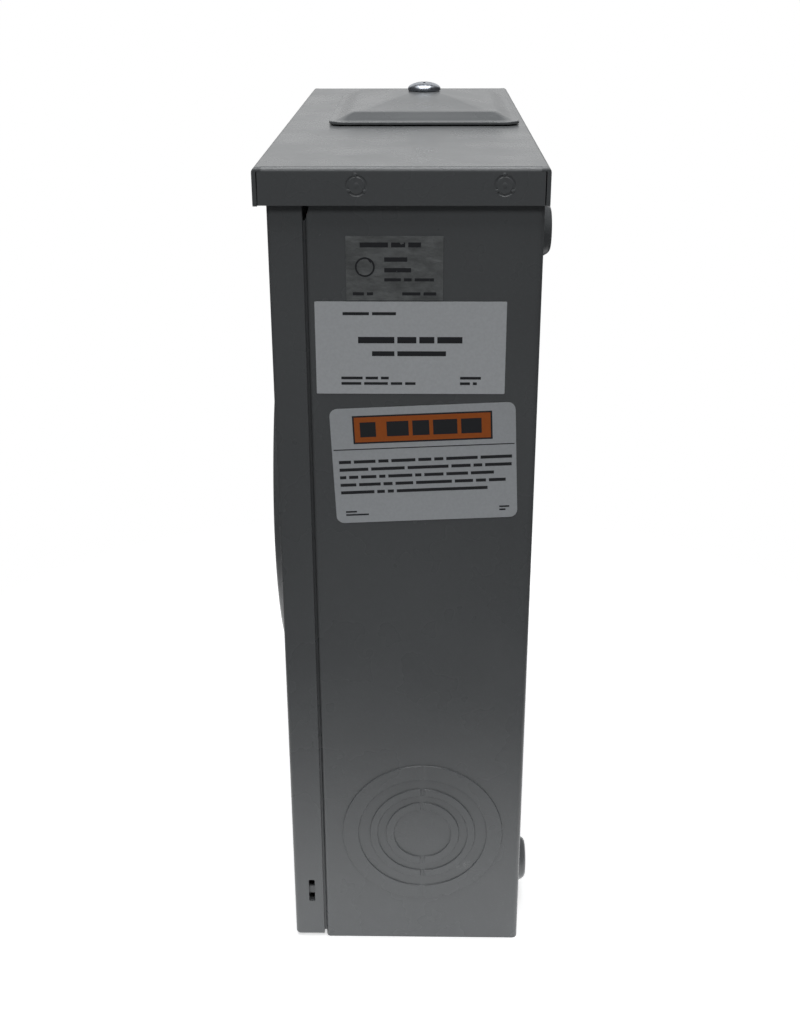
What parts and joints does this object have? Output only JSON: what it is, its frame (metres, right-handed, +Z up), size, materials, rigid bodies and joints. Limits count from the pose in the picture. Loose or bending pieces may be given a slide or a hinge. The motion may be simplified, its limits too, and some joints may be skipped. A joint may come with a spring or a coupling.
{
  "type": "meter socket enclosure",
  "caption": "Ringless meter socket enclosure: painted sheet-steel case with hood, lift-off cover with a raised round meter opening, seal hasp, hub closing plate, jaws, lugs and knockouts.",
  "frame": {"origin": "middle of the base, on the surface that the enclosure stands on", "axes": "+Z up the case, -Y out of the front cover, +Y into the wall, +X to the right of a person facing the cover"},
  "size_m": [0.3048, 0.122, 0.3837],
  "materials": {
    "grey_enamel": "semi-gloss grey enamel",
    "zinc_plate": "bright zinc plate",
    "tinned_copper": "tin plated copper",
    "lug_aluminium": "extruded, lightly etched",
    "block_plastic": "glass filled polyester moulding",
    "spring_steel": "spring steel",
    "label_foil": "thin metallised film, slightly wrinkled",
    "label_paper": "white coated paper",
    "notice_paper": "white coated film with printed bars",
    "gasket_rubber": "closed cell sheet",
    "green_screw": "green dyed",
    "galvanised_steel": "galvanised"
  },
  "bodies": {
    "case": {"case_shell": "grey_enamel", "bottom_panel": "grey_enamel", "top_hood": "grey_enamel", "hub_closing_plate": "grey_enamel", "hub_plate_gasket": "gasket_rubber", "hub_clamp_bar": "galvanised_steel", "hub_plate_screw": "zinc_plate", "seal_staple": "galvanised_steel", "staple_rivets": "zinc_plate", "upper_rail": "galvanised_steel", "lower_rail": "galvanised_steel", "rail_screws": "zinc_plate", "line_block": "block_plastic", "load_block": "block_plastic", "lug_screws": "lug_aluminium", "jaw_bolts": "zinc_plate", "block_screws": "zinc_plate", "meter_rest_right": "galvanised_steel", "meter_rest_left": "galvanised_steel", "rest_screws": "zinc_plate", "neutral_bracket": "galvanised_steel", "neutral_bar_strip": "lug_aluminium", "neutral_line_lug": "lug_aluminium", "neutral_load_lug": "lug_aluminium", "ground_lug": "lug_aluminium", "neutral_lug_screws": "zinc_plate", "neutral_bolts": "zinc_plate", "bonding_screw": "green_screw", "neutral_bracket_screw": "zinc_plate", "listing_label": "label_foil", "catalogue_label": "label_paper", "notice_label": "notice_paper", "line_jaw_left": "tinned_copper", "line_jaw_clip_left": "spring_steel", "line_lug_left": "lug_aluminium", "line_jaw_right": "tinned_copper", "line_jaw_clip_right": "spring_steel", "line_lug_right": "lug_aluminium", "load_jaw_left": "tinned_copper", "load_jaw_clip_left": "spring_steel", "load_lug_left": "lug_aluminium", "load_jaw_right": "tinned_copper", "load_jaw_clip_right": "spring_steel", "load_lug_right": "lug_aluminium"},
    "cover": {"front_cover": "grey_enamel", "hasp_bracket": "zinc_plate", "hasp_hinge_pin": "zinc_plate", "hasp_rivets": "zinc_plate"},
    "hasp": {"hasp_plate": "zinc_plate"}
  },
  "joints": [
    {"name": "cover_tilt", "type": "hinge", "parent": "case", "child": "cover", "pos_m": [0, -0.0495, 0.363], "axis": [-1, 0, 0], "range_deg": [0, 16]},
    {"name": "hasp_swing", "type": "hinge", "parent": "cover", "child": "hasp", "pos_m": [0, -0.0542, 0.036], "axis": [-1, 0, 0], "range_deg": [0, 110]}
  ]
}
